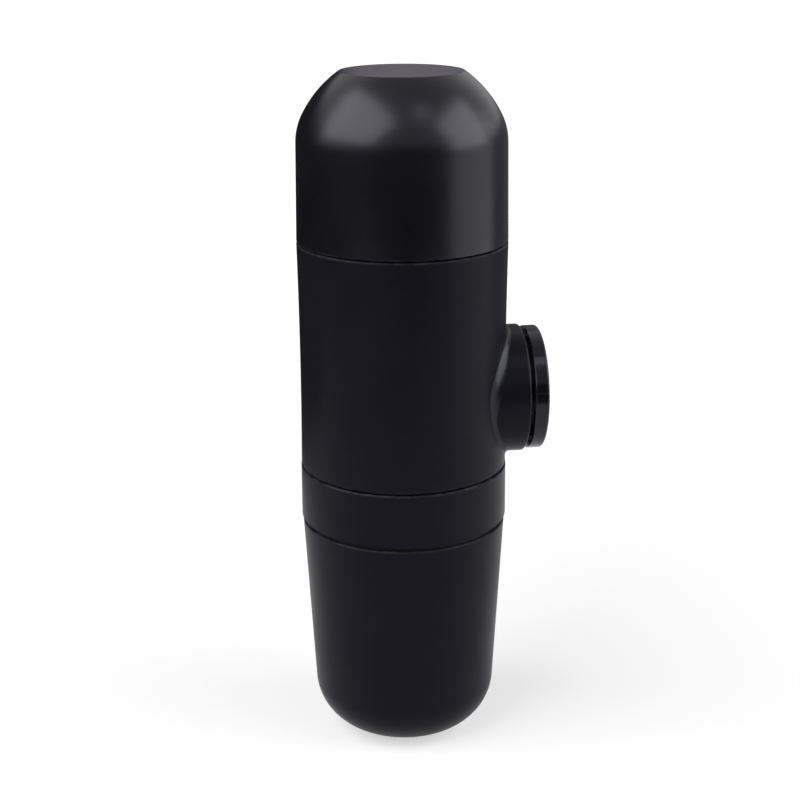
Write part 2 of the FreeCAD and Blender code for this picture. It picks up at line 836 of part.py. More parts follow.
def make_outlet_head():
    """Band with a female thread above, and below it a threaded neck and funnel floor."""
    hub = spout_radius + spout_flange + hub_margin
    outline = [
        (head_bottom_radius, head_bottom),
        (head_top_radius, head_top),
        (female_radius, head_top),
        (female_radius, head_ledge),
        (neck_bore_radius, head_ledge),
        (neck_bore_radius, floor_edge),
        (hub, floor_centre),
        (0, floor_centre),
        (0, floor_centre - funnel_thickness),
        (hub, floor_centre - funnel_thickness),
        (collar_radius, neck_bottom),
        (collar_radius, head_bottom),
    ]
    head = lathe(outline)
    head = head.cut(disc(spout_radius + running, floor_centre - funnel_thickness, floor_centre))
    head = round_edges(head, edge_chamfer, head_top_radius, head_top, sharp=True)
    head = round_edges(head, edge_chamfer, head_bottom_radius, head_bottom, sharp=True)
    head = add_ridges(head, female_radius, head_thread_level - thread_pitch / 2, inward=True)
    return add_ridges(head, collar_radius, neck_thread_level)


def make_outlet_spout():
    """Nozzle pressed into the funnel's floor."""
    low = floor_centre - funnel_thickness - spout_length
    flange_low = floor_centre + contact
    flange_high = flange_low + spout_flange_thickness
    spout = disc(spout_radius, low, flange_low)
    spout = spout.fuse(disc(spout_radius + spout_flange, flange_low, flange_high))
    spout = spout.cut(disc(spout_bore, low, flange_high)).removeSplitter()
    return round_edges(spout, edge_chamfer, spout_radius, low, sharp=True)


def cup_radius(level):
    """Outside radius of the cup's straight wall at a level."""
    return cup_base_radius + (cup_rim_radius - cup_base_radius) * level / cup_height


def make_cup():
    """Tapered cup with a round foot and a female thread under its rim."""
    lip_radius = cup_rim_radius - cup_lip
    outer = [(0, 0), (cup_base_radius, 0), (cup_rim_radius, cup_top), (0, cup_top)]
    cup = lathe(outer)
    cup = round_edges(cup, cup_foot_round, cup_base_radius, 0)
    inner_low = cup_radius(cup_floor) - cup_wall
    inner_high = cup_radius(cup_thread_bottom) - cup_wall
    top = cup_thread_bottom
    inside = lathe([(0, cup_floor), (inner_low, cup_floor), (inner_high, top), (0, top)])
    inside = round_edges(inside, cup_foot_round - cup_wall, inner_low, cup_floor)
    threaded = disc(female_radius, cup_thread_bottom, cup_top)
    mouth = disc(lip_radius, cup_seal_bottom, cup_top)
    cup = cup.cut([inside, threaded, mouth])
    cup = round_edges(cup, edge_chamfer, cup_rim_radius, cup_top, sharp=True)
    return add_ridges(cup, female_radius, neck_thread_level - thread_pitch / 2, inward=True)


def make_cup_gasket():
    """Ring on the step inside the cup's rim."""
    outer = cup_rim_radius - cup_lip - contact
    return ring(outer, female_radius + contact, cup_seal_bottom + contact, head_bottom - contact)


def build():
    """Write every sub-part."""
    os.makedirs("parts", exist_ok=True)
    pieces = {
        "water_tank": make_water_tank(),
        "tank_seal": make_tank_seal(),
        "top_deck": make_top_deck(),
        "intake_strainer": make_intake_strainer(),
        "deck_screws": make_deck_screws(),
        "body_shell": make_body_shell(),
        "pump_block": make_pump_block(),
        "pump_cylinder": make_pump_cylinder(),
        "cylinder_seal": make_cylinder_seal(),
        "rod_guide": make_rod_guide(),
        "plunger": make_plunger(),
        "plunger_seals": make_plunger_seals(),
        "return_spring": make_return_spring(),
        "knob_sleeve": make_knob_sleeve(),
        "knob_cap": make_knob_cap(),
        "knob_inlay": make_knob_inlay(),
        "knob_screw": make_knob_screw(),
        "intake_valve_seat": make_intake_valve_seat(),
        "intake_valve_ball": ball(intake_ball_low),
        "intake_valve_spring": valve_spring(intake_floor + contact, intake_ball_low - contact),
        "outlet_valve_ball": ball(outlet_ball_low),
        "outlet_valve_spring": valve_spring(retainer_top + contact, outlet_ball_low - contact),
        "outlet_valve_retainer": make_outlet_valve_retainer(),
        "port_seals": make_port_seals(),
        "brew_collar": make_brew_collar(),
        "collar_screws": make_collar_screws(),
        "shower_screen": make_shower_screen(),
        "screen_screw": make_screen_screw(),
        "group_gasket": make_group_gasket(),
        "filter_basket": make_filter_basket(),
        "basket_seal": make_basket_seal(),
        "coffee_scoop": make_coffee_scoop(),
        "outlet_head": make_outlet_head(),
        "outlet_spout": make_outlet_spout(),
        "cup": make_cup(),
        "cup_gasket": make_cup_gasket(),
    }
    for name, shape in pieces.items():
        save(shape, name)


build()
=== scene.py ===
import math

import bpy
from mathutils import Matrix, Vector


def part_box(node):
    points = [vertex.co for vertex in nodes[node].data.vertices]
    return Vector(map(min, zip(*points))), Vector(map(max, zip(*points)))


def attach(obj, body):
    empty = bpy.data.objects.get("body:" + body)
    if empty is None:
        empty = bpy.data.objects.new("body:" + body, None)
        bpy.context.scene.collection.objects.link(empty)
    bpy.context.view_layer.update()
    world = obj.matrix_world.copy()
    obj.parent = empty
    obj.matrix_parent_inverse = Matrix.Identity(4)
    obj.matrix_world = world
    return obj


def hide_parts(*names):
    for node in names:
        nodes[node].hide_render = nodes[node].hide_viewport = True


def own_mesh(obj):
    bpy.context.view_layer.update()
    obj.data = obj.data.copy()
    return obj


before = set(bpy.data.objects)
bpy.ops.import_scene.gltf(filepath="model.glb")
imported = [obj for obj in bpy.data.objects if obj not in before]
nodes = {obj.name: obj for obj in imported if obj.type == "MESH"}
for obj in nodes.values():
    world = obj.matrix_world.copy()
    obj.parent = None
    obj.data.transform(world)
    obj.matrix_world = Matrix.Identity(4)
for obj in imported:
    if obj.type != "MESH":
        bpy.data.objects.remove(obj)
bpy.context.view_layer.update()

print("frame loaded:", len(nodes), "nodes")


# camera: level distance and height are from the foot of the cup, turn is how far the plunger points away
cameraSettings = {
    "lens": 70.2,
    "sensor": 36,
    "nearest": 0.01,
    "distance": 0.4211,
    "height": 0.2363,
    "sideStep": 0.00088,
    "turn": 7.23,
    "pitch": 18.0,
    "roll": 0.315,
}


def addCamera(s):
    turn, pitch, roll = (math.radians(s[k]) for k in ("turn", "pitch", "roll"))
    ahead = Vector((math.sin(turn), math.cos(turn), 0))
    right = Vector((math.cos(turn), -math.sin(turn), 0))
    sky = Vector((0, 0, 1))
    look = ahead * math.cos(pitch) - sky * math.sin(pitch)
    up = ahead * math.sin(pitch) + sky * math.cos(pitch)
    rolledUp = up * math.cos(roll) + right * math.sin(roll)
    rolledRight = right * math.cos(roll) - up * math.sin(roll)
    aim = Matrix((rolledRight, rolledUp, -look)).transposed()
    place = sky * s["height"] - ahead * s["distance"] - right * s["sideStep"]
    bpy.ops.object.camera_add(location=place, rotation=aim.to_euler())
    camera = bpy.context.object
    camera.name = "mainCamera"
    camera.data.lens = s["lens"]
    camera.data.sensor_width = s["sensor"]
    camera.data.clip_start = s["nearest"]
    bpy.context.scene.camera = camera
    return ahead, right


ahead, right = addCamera(cameraSettings)
print("camera placed")


# light: a large soft box high on the left, a lower one on the right, a weak one that grazes the right edge
# and a small one from above for the knob; azimuths are from the camera's side, in degrees
lightSettings = {
    "aim": 0.12,
    "reach": 0.9,
    "boxes": {
        "left": {"side": -1, "azimuth": 63, "elevation": 42, "width": 1.10, "height": 0.84, "power": 10.4},
        "right": {"side": 1, "azimuth": 77, "elevation": 28, "width": 0.78, "height": 0.76, "power": 6.4},
        "rightEdge": {"side": 1, "azimuth": 112, "elevation": 19, "width": 0.30, "height": 0.34, "power": 0.34},
        "top": {"side": 1, "azimuth": 34, "elevation": 60, "width": 0.20, "height": 0.22, "power": 0.25},
    },
}


def addSoftBox(name, s, box):
    turn, rise = math.radians(box["azimuth"]), math.radians(box["elevation"])
    level = -ahead * math.cos(turn) + right * box["side"] * math.sin(turn)
    outward = (level * math.cos(rise) + Vector((0, 0, math.sin(rise)))).normalized()
    place = Vector((0, 0, s["aim"])) + outward * s["reach"]
    bpy.ops.object.light_add(type="AREA", location=place, rotation=(-outward).to_track_quat("-Z", "Y").to_euler())
    lamp = bpy.context.object
    lamp.name = name + "SoftBox"
    lamp.data.shape = "RECTANGLE"
    lamp.data.size = box["width"]
    lamp.data.size_y = box["height"]
    lamp.data.energy = box["power"]


for name, box in lightSettings["boxes"].items():
    addSoftBox(name, lightSettings, box)
print("soft boxes lit:", len(lightSettings["boxes"]))


# node helpers for the world, the floor and the materials; a value may be a number, a colour or another node's output
def setOrLink(tree, socket, value):
    if isinstance(value, bpy.types.NodeSocket):
        tree.links.new(value, socket)
    else:
        socket.default_value = value


def addMath(tree, operation, a, b=0.0):
    node = tree.nodes.new("ShaderNodeMath")
    node.operation = operation
    setOrLink(tree, node.inputs[0], a)
    setOrLink(tree, node.inputs[1], b)
    return node.outputs["Value"]


def addMix(tree, share, first, second, kind="FLOAT"):
    # the mix node has a pair of inputs and an output of its own for numbers and for colours
    start, end = (6, 2) if kind == "RGBA" else (2, 0)
    mix = tree.nodes.new("ShaderNodeMix")
    mix.data_type = kind
    setOrLink(tree, mix.inputs[0], share)
    setOrLink(tree, mix.inputs[start], first)
    setOrLink(tree, mix.inputs[start + 1], second)
    return mix.outputs[end]


def addRange(tree, value, low, high, toLow=0.0, toHigh=1.0, kind="LINEAR"):
    span = tree.nodes.new("ShaderNodeMapRange")
    span.interpolation_type = kind
    ends = {"Value": value, "From Min": low, "From Max": high, "To Min": toLow, "To Max": toHigh}
    for label, end in ends.items():
        setOrLink(tree, span.inputs[label], end)
    return span.outputs["Result"]


def addFade(tree, value, s):
    return addRange(tree, value, s["start"], s["end"], s["front"], s["back"], kind="SMOOTHSTEP")


def addDot(tree, vector, way):
    dot = tree.nodes.new("ShaderNodeVectorMath")
    dot.operation = "DOT_PRODUCT"
    dot.inputs[1].default_value = way
    tree.links.new(vector, dot.inputs[0])
    return dot.outputs["Value"]


def addSeen(tree):
    # 1 for what the camera sees, directly, in a gloss or through glass
    path = tree.nodes.new("ShaderNodeLightPath")
    seen = path.outputs["Is Camera Ray"]
    for label in ("Is Glossy Ray", "Is Transmission Ray"):
        seen = addMath(tree, "MAXIMUM", seen, path.outputs[label])
    return seen


def emptyTree(owner):
    owner.use_nodes = True
    owner.node_tree.nodes.clear()
    return owner.node_tree


# the backdrop is white behind and all along the horizon, and dimmer high in front; the room's own light is weak
backdropSettings = {
    "behind": {"start": 0.10, "end": 0.80, "front": 0.55, "back": 1.0},
    "high": {"start": 0.06, "end": 0.36, "front": 1.0, "back": 0.0},
    "white": (1, 1, 1, 1),
    "room": 0.12,
}


def buildWorld(s):
    world = bpy.data.worlds.new("studio")
    bpy.context.scene.world = world
    tree = emptyTree(world)
    way = tree.nodes.new("ShaderNodeTexCoord").outputs["Generated"]
    roomLight = tree.nodes.new("ShaderNodeBackground")
    roomLight.inputs["Strength"].default_value = s["room"]
    shown = tree.nodes.new("ShaderNodeBackground")
    shown.inputs["Color"].default_value = s["white"]
    mix = tree.nodes.new("ShaderNodeMixShader")
    out = tree.nodes.new("ShaderNodeOutputWorld")
    behind = addFade(tree, addDot(tree, way, ahead), s["behind"])
    horizon = addFade(tree, addDot(tree, way, (0, 0, 1)), s["high"])
    link = tree.links.new
    link(addMath(tree, "MAXIMUM", behind, horizon), shown.inputs["Strength"])
    link(addSeen(tree), mix.inputs["Fac"])
    link(roomLight.outputs["Background"], mix.inputs[1])
    link(shown.outputs["Background"], mix.inputs[2])
    link(mix.outputs["Shader"], out.inputs["Surface"])


buildWorld(backdropSettings)


# the floor shades plainly, and a lift for what the camera sees brings it to the backdrop's white
floorSettings = {
    "size": 12.0,
    "drop": 0.0002,
    "color": (0.50, 0.50, 0.50, 1),
    "near": {"start": 0.10, "end": 0.9, "front": 0.56, "back": 1.0},
    "way": {"start": -0.3, "end": 0.5, "front": 0.92, "back": 1.0},
    "reach": {"start": 0.16, "end": 0.40, "front": 0.0, "back": 1.0},
}


def addFloor(s):
    bpy.ops.mesh.primitive_plane_add(size=s["size"], location=(0, 0, -s["drop"]))
    floor = bpy.context.object
    floor.name = "floor"
    mat = bpy.data.materials.new("paleFloor")
    tree = emptyTree(mat)
    place = tree.nodes.new("ShaderNodeTexCoord").outputs["Object"]
    away = tree.nodes.new("ShaderNodeVectorMath")
    away.operation = "LENGTH"
    heading = tree.nodes.new("ShaderNodeVectorMath")
    heading.operation = "NORMALIZE"
    matt = tree.nodes.new("ShaderNodeBsdfDiffuse")
    matt.inputs["Color"].default_value = s["color"]
    glow = tree.nodes.new("ShaderNodeEmission")
    lit = tree.nodes.new("ShaderNodeAddShader")
    mix = tree.nodes.new("ShaderNodeMixShader")
    out = tree.nodes.new("ShaderNodeOutputMaterial")
    link = tree.links.new
    link(place, away.inputs[0])
    link(place, heading.inputs[0])
    # close to the object the floor is as bright all round; further out it is whitest away from the camera
    toBack = addFade(tree, addDot(tree, heading.outputs["Vector"], ahead), s["way"])
    onTheWay = addMix(tree, addFade(tree, away.outputs["Value"], s["reach"]), 1.0, toBack)
    near = addFade(tree, away.outputs["Value"], s["near"])
    link(addMath(tree, "MULTIPLY", near, onTheWay), glow.inputs["Strength"])
    link(matt.outputs["BSDF"], lit.inputs[0])
    link(glow.outputs["Emission"], lit.inputs[1])
    link(addSeen(tree), mix.inputs["Fac"])
    link(matt.outputs["BSDF"], mix.inputs[1])
    link(lit.outputs["Shader"], mix.inputs[2])
    link(mix.outputs["Shader"], out.inputs["Surface"])
    floor.data.materials.append(mat)


addFloor(floorSettings)


# dim cards stand round the object, out of the camera's sight, and only glosses show them
cardSettings = {
    "leftBack": {
        "side": -1, "azimuth": 136, "distance": 0.22, "width": 0.36, "height": 0.28, "shade": (0.02, 0.02, 0.02, 1),
    },
    "rightBack": {
        "side": 1, "azimuth": 140, "distance": 0.28, "width": 0.36, "height": 0.21, "shade": (0.16, 0.16, 0.17, 1),
    },
    "back": {
        "side": 1, "azimuth": 180, "distance": 0.50, "width": 0.30, "height": 0.50, "shade": (0.36, 0.33, 0.40, 1),
    },
    "left": {
        "side": -1, "azimuth": 76, "distance": 0.34, "width": 0.36, "height": 0.19, "shade": (0.02, 0.02, 0.02, 1),
    },
    "front": {
        "side": 1, "azimuth": 0, "distance": 0.34, "width": 0.90, "height": 0.24, "shade": (0.02, 0.02, 0.02, 1),
    },
}


def addCard(name, s):
    turn = math.radians(s["azimuth"])
    outward = -ahead * math.cos(turn) + right * s["side"] * math.sin(turn)
    place = outward * s["distance"] + Vector((0, 0, s["height"] / 2))
    bpy.ops.mesh.primitive_plane_add(size=1, location=place, rotation=(-outward).to_track_quat("Z", "Y").to_euler())
    card = bpy.context.object
    card.name = name + "Card"
    card.scale = (s["width"], s["height"], 1)
    card.visible_camera = False
    card.visible_diffuse = False
    card.visible_shadow = False
    mat = bpy.data.materials.new(name + "Card")
    tree = emptyTree(mat)
    glow = tree.nodes.new("ShaderNodeEmission")
    glow.inputs["Color"].default_value = s["shade"]
    out = tree.nodes.new("ShaderNodeOutputMaterial")
    tree.links.new(glow.outputs["Emission"], out.inputs["Surface"])
    card.data.materials.append(mat)


for name, s in cardSettings.items():
    addCard(name, s)

bpy.context.scene.view_settings.view_transform = "Standard"
print("stage set")


# effects: each is a node group that is built once and shared by the materials
effectSettings = {
    "grain": {
        "fine": {"detail": 2.0, "rough": 0.6}, "fineShare": 0.7,
        "swell": {"detail": 1.0, "rough": 0.5}, "swellShare": 0.3, "swellScale": 0.08,
    },
    "haze": {"cloud": {"detail": 4.0, "rough": 0.55}, "thin": 0.35, "thick": 0.65},
    "dust": {"smallest": 0.4},
    "lines": {"noise": {"detail": 2.0, "rough": 0.7}, "wander": 0.02},
    "scratches": {
        "hairs": {"detail": 1.0, "rough": 0.5}, "thin": 0.68, "thick": 0.74,
        "ways": [
            ((0.4, 0.9, 0.2), (1, 0.04, 1)),
            ((1.3, 0.1, 0.8), (0.05, 1, 1)),
            ((0.2, 0.6, 1.9), (1, 1, 0.04)),
        ],
    },
    # the painted rim highlight: the noise that makes the lighter edge patchy
    "rimHighlight": {"patches": {"detail": 3.0, "rough": 0.6}, "scale": 420.0, "thin": 0.38, "thick": 0.62},
}


def newGroup(name, values, outputs):
    # every effect takes a Vector and plain numbers, and puts out plain numbers
    group = bpy.data.node_groups.new(name, "ShaderNodeTree")
    group.interface.new_socket("Vector", in_out="INPUT", socket_type="NodeSocketVector")
    for label, value in values.items():
        group.interface.new_socket(label, in_out="INPUT", socket_type="NodeSocketFloat").default_value = value
    for label in outputs:
        group.interface.new_socket(label, in_out="OUTPUT", socket_type="NodeSocketFloat")
    return group, group.nodes.new("NodeGroupInput").outputs, group.nodes.new("NodeGroupOutput").inputs


def addNoise(tree, vector, scale, s):
    noise = tree.nodes.new("ShaderNodeTexNoise")
    noise.inputs["Detail"].default_value = s["detail"]
    noise.inputs["Roughness"].default_value = s["rough"]
    tree.links.new(vector, noise.inputs["Vector"])
    setOrLink(tree, noise.inputs["Scale"], scale)
    return noise.outputs["Fac"]


def buildMouldGrain(s):
    # the fine texture of a moulding tool: even grain with softer swells under it
    group, given, out = newGroup("mouldGrain", {"Fineness": 2600.0}, ["Height"])
    fine = addNoise(group, given["Vector"], given["Fineness"], s["fine"])
    swellSize = addMath(group, "MULTIPLY", given["Fineness"], s["swellScale"])
    swell = addNoise(group, given["Vector"], swellSize, s["swell"])
    fine = addMath(group, "MULTIPLY", fine, s["fineShare"])
    swell = addMath(group, "MULTIPLY", swell, s["swellShare"])
    group.links.new(addMath(group, "ADD", fine, swell), out["Height"])
    return group


def buildSoftHaze(s):
    # cloudy handling marks that shift the gloss a little between two roughness values
    group, given, out = newGroup("softHaze", {"Size": 55.0, "Glossy": 0.35, "Matt": 0.45}, ["Roughness", "Mask"])
    cloud = addNoise(group, given["Vector"], given["Size"], s["cloud"])
    mask = addRange(group, cloud, s["thin"], s["thick"])
    group.links.new(addRange(group, mask, 0.0, 1.0, given["Glossy"], given["Matt"]), out["Roughness"])
    group.links.new(mask, out["Mask"])
    return group


def buildDustSpecks(s):
    # single pale grains of dust: one small dot in the few cells that the dice choose
    group, given, out = newGroup("dustSpecks", {"Cells": 130.0, "Share": 0.04, "Radius": 0.03}, ["Mask"])
    cells = group.nodes.new("ShaderNodeTexVoronoi")
    cells.feature = "F1"
    group.links.new(given["Vector"], cells.inputs["Vector"])
    group.links.new(given["Cells"], cells.inputs["Scale"])
    dice = group.nodes.new("ShaderNodeSeparateColor")
    group.links.new(cells.outputs["Color"], dice.inputs["Color"])
    chosen = addMath(group, "LESS_THAN", dice.outputs["Red"], given["Share"])
    size = addMath(group, "ADD", dice.outputs["Green"], s["smallest"])
    reach = addMath(group, "MULTIPLY", given["Radius"], size)
    near = addMath(group, "LESS_THAN", cells.outputs["Distance"], reach)
    group.links.new(addMath(group, "MULTIPLY", chosen, near), out["Mask"])
    return group


def buildTurnedLines(s):
    # fine rings around an upright axis, as a lathe or a moulding tool leaves them
    group, given, out = newGroup("turnedLines", {"Pitch": 3000.0}, ["Height"])
    split = group.nodes.new("ShaderNodeSeparateXYZ")
    group.links.new(given["Vector"], split.inputs["Vector"])
    squares = [addMath(group, "MULTIPLY", split.outputs[axis], split.outputs[axis]) for axis in "XY"]
    join = group.nodes.new("ShaderNodeCombineXYZ")
    group.links.new(addMath(group, "SQRT", addMath(group, "ADD", *squares)), join.inputs["X"])
    group.links.new(split.outputs["Z"], join.inputs["Z"])
    group.links.new(addMath(group, "MULTIPLY", split.outputs["Y"], s["wander"]), join.inputs["Y"])
    group.links.new(addNoise(group, join.outputs["Vector"], given["Pitch"], s["noise"]), out["Height"])
    return group


def buildFineScratches(s):
    # short straight hairlines in three directions, faint under a raking light
    group, given, out = newGroup("fineScratches", {"Fineness": 900.0}, ["Mask"])
    marks = []
    for turn, squeeze in s["ways"]:
        drawn = group.nodes.new("ShaderNodeMapping")
        drawn.inputs["Rotation"].default_value = turn
        drawn.inputs["Scale"].default_value = squeeze
        group.links.new(given["Vector"], drawn.inputs["Vector"])
        hairs = addNoise(group, drawn.outputs["Vector"], given["Fineness"], s["hairs"])
        marks.append(addRange(group, hairs, s["thin"], s["thick"]))
    both = addMath(group, "MAXIMUM", marks[0], marks[1])
    group.links.new(addMath(group, "MAXIMUM", both, marks[2]), out["Mask"])
    return group


def buildPaintedRimHighlight(s):
    # a painted highlight along a rim: full at Level, gone a Width further in, and patchy
    group, given, out = newGroup("paintedRimHighlight", {"Along": 0.0, "Level": 0.0, "Width": 0.0006}, ["Mask"])
    gap = addMath(group, "ABSOLUTE", addMath(group, "SUBTRACT", given["Along"], given["Level"]))
    near = addMath(group, "SUBTRACT", 1.0, addMath(group, "DIVIDE", gap, given["Width"]))
    patches = addRange(group, addNoise(group, given["Vector"], s["scale"], s["patches"]), s["thin"], s["thick"])
    group.links.new(addMath(group, "MULTIPLY", addMath(group, "MAXIMUM", near, 0.0), patches), out["Mask"])
    return group


effects = {
    "rimHighlight": buildPaintedRimHighlight(effectSettings["rimHighlight"]),
    "grain": buildMouldGrain(effectSettings["grain"]),
    "haze": buildSoftHaze(effectSettings["haze"]),
    "dust": buildDustSpecks(effectSettings["dust"]),
    "lines": buildTurnedLines(effectSettings["lines"]),
    "scratches": buildFineScratches(effectSettings["scratches"]),
}
print("node groups built:", len(effects))


# material helpers
def newMaterial(name):
    mat = bpy.data.materials.new(name)
    mat.use_nodes = True
    tree = mat.node_tree
    place = tree.nodes.new("ShaderNodeTexCoord").outputs["Object"]
    return mat, tree, tree.nodes["Principled BSDF"], place


def addEffect(tree, name, vector, **values):
    node = tree.nodes.new("ShaderNodeGroup")
    node.node_tree = effects[name]
    tree.links.new(vector, node.inputs["Vector"])
    for label, value in values.items():
        setOrLink(tree, node.inputs[label], value)
    return node.outputs


def addBump(tree, height, distance, strength=1.0, before=None):
    bump = tree.nodes.new("ShaderNodeBump")
    bump.inputs["Strength"].default_value = strength
    bump.inputs["Distance"].default_value = distance
    tree.links.new(height, bump.inputs["Height"])
    if before is not None:
        tree.links.new(before, bump.inputs["Normal"])
    return bump.outputs["Normal"]


# black plastics: near-black with a breath of blue, differing in gloss and in the tool's finish
plasticCommon = {
    "tint": (0.84, 0.84, 1.0, 1),
    "hazeSize": 45.0,
    # a painted highlight runs along the listed rims: its width and its lighter colour
    "rimHighlightWidth": 0.0007,
    "rimHighlightColor": (0.030, 0.030, 0.036, 1),
    "bossStart": (0.0272, 0.0300),
    "underside": (0.0940, 0.1080),
    "scratchDepth": 0.18,
    "dustCells": 120.0,
    "dustRadius": 0.022,
    "dustColor": (0.30, 0.30, 0.32, 1),
    "lineStrength": 0.5,
}

# rims lists the edges, by axis and level, that get the painted highlight
plasticSettings = {
    "shellPlastic": {
        "color": (0.0060, 0.0061, 0.0094, 1), "worn": (0.0076, 0.0077, 0.0116, 1), "glossy": 0.34, "matt": 0.39,
        "specular": 0.095, "grain": 2600.0, "depth": 0.000012, "dust": 0.035, "bossGloss": 0.30,
        "rims": [
            ("Z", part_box("body_shell")[1][2]), ("Z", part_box("body_shell")[0][2]), ("X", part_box("body_shell")[1][0]),
        ],
    },
    "tankPlastic": {
        "color": (0.0030, 0.0030, 0.0052, 1), "worn": (0.0042, 0.0042, 0.0070, 1), "glossy": 0.27, "matt": 0.32,
        "specular": 0.38, "grain": 3000.0, "depth": 0.000008, "dust": 0.06, "tint": (0.91, 0.87, 1.0, 1),
        "rims": [("Z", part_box("water_tank")[0][2])],
    },
    "bandPlastic": {
        "color": (0.0045, 0.0045, 0.0078, 1), "worn": (0.0061, 0.0061, 0.0100, 1), "glossy": 0.34, "matt": 0.40,
        "specular": 0.10, "grain": 2600.0, "depth": 0.000012, "dust": 0.02, "lines": 2400.0, "lineDepth": 0.000030,
        "rims": [("Z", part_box("outlet_head")[1][2])],
    },
    "cupPlastic": {
        "color": (0.0058, 0.0057, 0.0096, 1), "worn": (0.0072, 0.0071, 0.0116, 1), "glossy": 0.35, "matt": 0.41,
        "specular": 0.08, "grain": 2400.0, "depth": 0.000014, "dust": 0.012,
        "rims": [("Z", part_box("cup")[1][2])],
    },
    "knobPlastic": {
        "color": (0.0042, 0.0042, 0.0070, 1), "worn": (0.0058, 0.0058, 0.0090, 1), "glossy": 0.11, "matt": 0.18,
        "specular": 0.30, "grain": 1500.0, "depth": 0.000010, "dust": 0.10, "scratches": 900.0,
        "rims": [("X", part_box("knob_cap")[0][0])],
    },
    "knobFacePlastic": {
        "color": (0.0046, 0.0046, 0.0074, 1), "worn": (0.0064, 0.0064, 0.0096, 1), "glossy": 0.20, "matt": 0.30,
        "specular": 0.25, "grain": 1500.0, "depth": 0.000006, "dust": 0.06, "scratches": 1100.0,
        "lines": 1900.0, "lineDepth": 0.000024, "lineTurn": (0, math.pi / 2, 0), "lineShift": (-0.10195, 0, 0),
    },
    "bossPlastic": {
        "color": (0.0042, 0.0042, 0.0078, 1), "worn": (0.0058, 0.0058, 0.0098, 1), "glossy": 0.22, "matt": 0.28,
        "specular": 0.29, "grain": 2600.0, "depth": 0.000008, "mattUnder": 0.35,
    },
    "innerPlastic": {
        "color": (0.0190, 0.0190, 0.0215, 1), "worn": (0.0260, 0.0260, 0.0290, 1), "glossy": 0.44, "matt": 0.54,
        "specular": 0.40, "grain": 1800.0, "depth": 0.000016,
    },
}


def makePlastic(name, own):
    s = {**plasticCommon, **own}
    mat, tree, shader, place = newMaterial(name)
    shader.inputs["Specular IOR Level"].default_value = s["specular"]
    shader.inputs["Specular Tint"].default_value = s["tint"]
    haze = addEffect(tree, "haze", place, Size=s["hazeSize"], Glossy=s["glossy"], Matt=s["matt"])
    color = addMix(tree, haze["Mask"], s["color"], s["worn"], kind="RGBA")
    rough = haze["Roughness"]
    split = tree.nodes.new("ShaderNodeSeparateXYZ")
    tree.links.new(place, split.inputs["Vector"])
    # a patchy painted highlight, a lighter colour, along each listed rim
    for axis, level in s.get("rims", ()):
        rimHighlight = addEffect(tree, "rimHighlight", place, Along=split.outputs[axis], Level=level, Width=s["rimHighlightWidth"])
        color = addMix(tree, rimHighlight["Mask"], color, s["rimHighlightColor"], kind="RGBA")
    if "bossGloss" in s:
        # the boss comes out of a polished part of the tool, the tube and the boss's underside do not
        polished = addRange(tree, split.outputs["X"], *s["bossStart"])
        upper = addRange(tree, split.outputs["Z"], *s["underside"])
        rough = addMix(tree, addMath(tree, "MULTIPLY", polished, upper), rough, s["bossGloss"])
    if "mattUnder" in s:
        # the underside of the blend is as matt as the tool leaves it
        low, high = s["underside"]
        rough = addMath(tree, "ADD", rough, addRange(tree, split.outputs["Z"], high, low, 0.0, s["mattUnder"]))
    if "scratches" in s:
        marks = addEffect(tree, "scratches", place, Fineness=s["scratches"])
        rough = addMath(tree, "ADD", rough, addMath(tree, "MULTIPLY", marks["Mask"], s["scratchDepth"]))
    if "dust" in s:
        specks = addEffect(tree, "dust", place, Cells=s["dustCells"], Share=s["dust"], Radius=s["dustRadius"])
        color = addMix(tree, specks["Mask"], color, s["dustColor"], kind="RGBA")
    grain = addEffect(tree, "grain", place, Fineness=s["grain"])
    normal = addBump(tree, grain["Height"], s["depth"])
    if "lines" in s:
        # the rings are round the upright axis unless the finish turns them to another one
        turned = tree.nodes.new("ShaderNodeMapping")
        turned.inputs["Rotation"].default_value = s.get("lineTurn", (0, 0, 0))
        turned.inputs["Location"].default_value = s.get("lineShift", (0, 0, 0))
        tree.links.new(place, turned.inputs["Vector"])
        rings = addEffect(tree, "lines", turned.outputs["Vector"], Pitch=s["lines"])
        normal = addBump(tree, rings["Height"], s["lineDepth"], s["lineStrength"], normal)
    tree.links.new(color, shader.inputs["Base Color"])
    tree.links.new(rough, shader.inputs["Roughness"])
    tree.links.new(normal, shader.inputs["Normal"])
    return mat


# rubbers: matt, with a slight bloom in cloudy patches
rubberCommon = {"specular": 0.32, "hazeSize": 160.0, "grain": 3500.0, "depth": 0.000010}

rubberSettings = {
    "sealRubber": {
        "color": (0.011, 0.011, 0.012, 1), "bloom": (0.022, 0.022, 0.023, 1), "glossy": 0.52, "matt": 0.66,
    },
    "gasketRubber": {
        "color": (0.230, 0.036, 0.022, 1), "bloom": (0.290, 0.062, 0.042, 1), "glossy": 0.46, "matt": 0.60,
    },
}


def makeRubber(name, own):
    s = {**rubberCommon, **own}
    mat, tree, shader, place = newMaterial(name)
    shader.inputs["Specular IOR Level"].default_value = s["specular"]
    haze = addEffect(tree, "haze", place, Size=s["hazeSize"], Glossy=s["glossy"], Matt=s["matt"])
    grain = addEffect(tree, "grain", place, Fineness=s["grain"])
    color = addMix(tree, haze["Mask"], s["color"], s["bloom"], kind="RGBA")
    tree.links.new(color, shader.inputs["Base Color"])
    tree.links.new(haze["Roughness"], shader.inputs["Roughness"])
    tree.links.new(addBump(tree, grain["Height"], s["depth"]), shader.inputs["Normal"])
    return mat


# metals: pressed, polished, drawn and plated steel
metalCommon = {"hazeSize": 120.0, "scratchDepth": 0.12, "lineStrength": 0.6}

